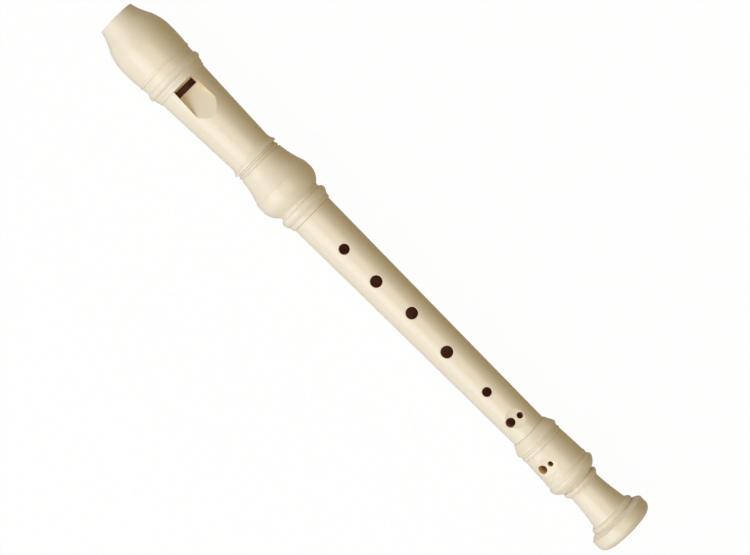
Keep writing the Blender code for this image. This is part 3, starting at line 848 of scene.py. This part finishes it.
def makeBoredJoint(name, start, plan):
    # turns a joint, then cuts its dish and its holes
    piece = turned(name, start, plan["outer"], plan["inner"])
    paint(piece, ivory)
    # the bore gets the painted shade of the wall finish
    paintShadeInBore(piece, plan["wall"])
    station, surface, depth, roll, turn = plan["dish"]
    cutAway(piece, dishCutter(start + station, surface, depth, roll, math.radians(plan["turn"] + turn)))
    for station, radius, turn in plan["holes"]:
        turn = math.radians(plan["turn"] + turn)
        cutAway(piece, holeCutter(piece, start + station, radius, turn, plan["wall"]))
    smoothOver(piece)
    return piece


def makeMiddleJoint():
    piece = makeBoredJoint("middleJoint", starts["middle"], middlePlan)
    fitOn(piece, "middle", "middle_joint")


makeMiddleJoint()
print("middle joint turned and bored")


# Foot joint: mouth ring, barrel, shoulder, neck and bell, with the double hole turned aside.

footPlan = {
    "outer": [
        (0.03, 9.5, 0, 0.1), (4.45, 11.75, 0, 0.3), (5.1, 11.75, 0.03, 0.3), (6.6, 11.05, -0.1),
        (6.7, 10.65), (7.05, 10.65), (7.15, 11.0), (8.75, 10.98, 0.36), (8.8, 10.7), (9.05, 10.7),
        (9.15, 11.05), (12.0, 11.2, -0.02), (22.9, 11.66), (23.7, 12.0, 0, 0.2), (25.3, 11.72, 0, 0.15),
        (26.5, 12.68, -0.1, 0.3), (28.1, 12.64, 0.06, 0.3), (31.65, 9.1, 0.40, 0.1), (31.75, 8.2),
        (32.15, 8.2), (32.45, 9.35, 0.04), (33.1, 9.66, 0.06), (34.9, 8.65, 0.24), (36.6, 8.06, -0.12),
        (51.6, 9.82, -0.22), (52.4, 10.1), (53.95, 12.03, 0.30), (54.75, 11.72, 0.06), (54.85, 11.25),
        (55.15, 11.25), (55.3, 12.0), (57.0, fullRadius, 0.08, 0.45), (61.3, fullRadius, 0, 0.3),
        (64.3, 11.3, 0.85, 0.4),
    ],
    "inner": [(0.03, 7.4, 0, 0.3), (11.45, 7.4), (11.45, 5.1), (62.7, 5.1), (64.3, 6.2, 0, 0.3)],
    "turn": 30.6,
    "holes": [(16.2, 2.15, 17.7), (16.45, 1.25, -10.6)],
    # the hole walls get the painted amber shade and glow
    "wall": ivoryPaintedAmberShade,
    "dish": (16.3, 11.3, 0.9, 12.0, 0),
}


def makeFootJoint():
    piece = makeBoredJoint("footJoint", starts["foot"], footPlan)
    fitOn(piece, "foot", "foot_joint")


makeFootJoint()
print("foot joint turned and bored")


# Floor, world and lamps.

stagePlan = {
    "floorSize": 6,
    "floorColour": (0.38, 0.28, 0.12, 1),  # as its light falls back on the recorder
    "floorWhite": (0.95, 0.95, 0.95, 1),  # as the camera sees it
    "floorGlow": 0.975,  # how much of the white floor is its own to the camera
    "whiteSheen": 0.42,  # and how much of the white all round the glossy plastic mirrors
    "keyPower": 12.1,
    "keySize": 1.35,
    "keyFrom": (-0.06, -1.07, 1.0),
    "keyColour": (0.905, 0.94, 1.0),
    "endPowers": (8.6, 6.0),  # two lamps toward the ends, which light the rings' slopes
    "endFrom": ((-1.35, -0.75, 0.55), (1.35, -0.75, 0.55)),
    "fillPower": 8.9,
    "fillSize": 1.2,
    "fillFrom": (0.1, 0.25, 1.75),
    "fillColour": (1, 0.84, 0.55),
    "ambient": 0.16,
    "ambientColour": (1, 0.74, 0.26, 1),
    "skyWhite": (1, 1, 1, 1),
}


def areaLight(name, power, size, fromPlace, colour):
    data = bpy.data.lights.new(name, "AREA")
    data.energy = power
    data.shape = "DISK"
    data.size = size
    data.color = colour
    lamp = bpy.data.objects.new(name, data)
    bpy.context.scene.collection.objects.link(lamp)
    lamp.location = fromPlace
    lamp.rotation_euler = Vector(fromPlace).to_track_quat("Z", "Y").to_euler()


def whiteShare(made, seen):
    # the camera and clear rays see the white all round, and mirrored rays a part of it
    mirrored = made.node("LightPath", {}, {}, "Is Glossy Ray")
    through = made.node("LightPath", {}, {}, "Is Transmission Ray")
    bare = seen.math("MAXIMUM", seen, through)
    return seen.math("MAXIMUM", bare, mirrored * stagePlan["whiteSheen"])


def layFloor():
    plan = stagePlan
    deselectAll()
    bpy.ops.mesh.primitive_plane_add(size=plan["floorSize"], location=(0, 0, 0))
    floor = bpy.context.object
    floor.name = "floor"
    material = bpy.data.materials.new("paleFloor")
    made = Nodes(material)
    seen = made.node("LightPath", {}, {}, "Is Camera Ray")
    share = whiteShare(made, seen) * plan["floorGlow"]
    matt = made.node("BsdfDiffuse", {}, {"Color": made.mixed(seen, plan["floorColour"], plan["floorWhite"])})
    glow = made.node("Emission", {}, {"Strength": 1.0})
    mixed = made.node("MixShader", {}, {0: share, 1: matt, 2: glow})
    made.node("OutputMaterial", {}, {"Surface": mixed})
    paint(floor, material)


def setWorld():
    plan = stagePlan
    world = bpy.data.worlds.new("studio")
    bpy.context.scene.world = world
    made = Nodes(world)
    seen = made.node("LightPath", {}, {}, "Is Camera Ray")
    sky = made.node("Background", {}, {"Color": plan["ambientColour"], "Strength": plan["ambient"]})
    white = made.node("Background", {}, {"Color": plan["skyWhite"], "Strength": 1.0})
    mixed = made.node("MixShader", {}, {0: whiteShare(made, seen), 1: sky, 2: white})
    made.node("OutputWorld", {}, {"Surface": mixed})


def setLamps():
    plan = stagePlan
    areaLight("keyLight", plan["keyPower"], plan["keySize"], plan["keyFrom"], plan["keyColour"])
    for end, power, place in zip(("tip", "bell"), plan["endPowers"], plan["endFrom"]):
        areaLight(end + "Light", power, plan["keySize"], place, plan["keyColour"])
    areaLight("fillLight", plan["fillPower"], plan["fillSize"], plan["fillFrom"], plan["fillColour"])


bpy.context.scene.view_settings.view_transform = "Standard"
layFloor()
setWorld()
setLamps()
print("stage set")
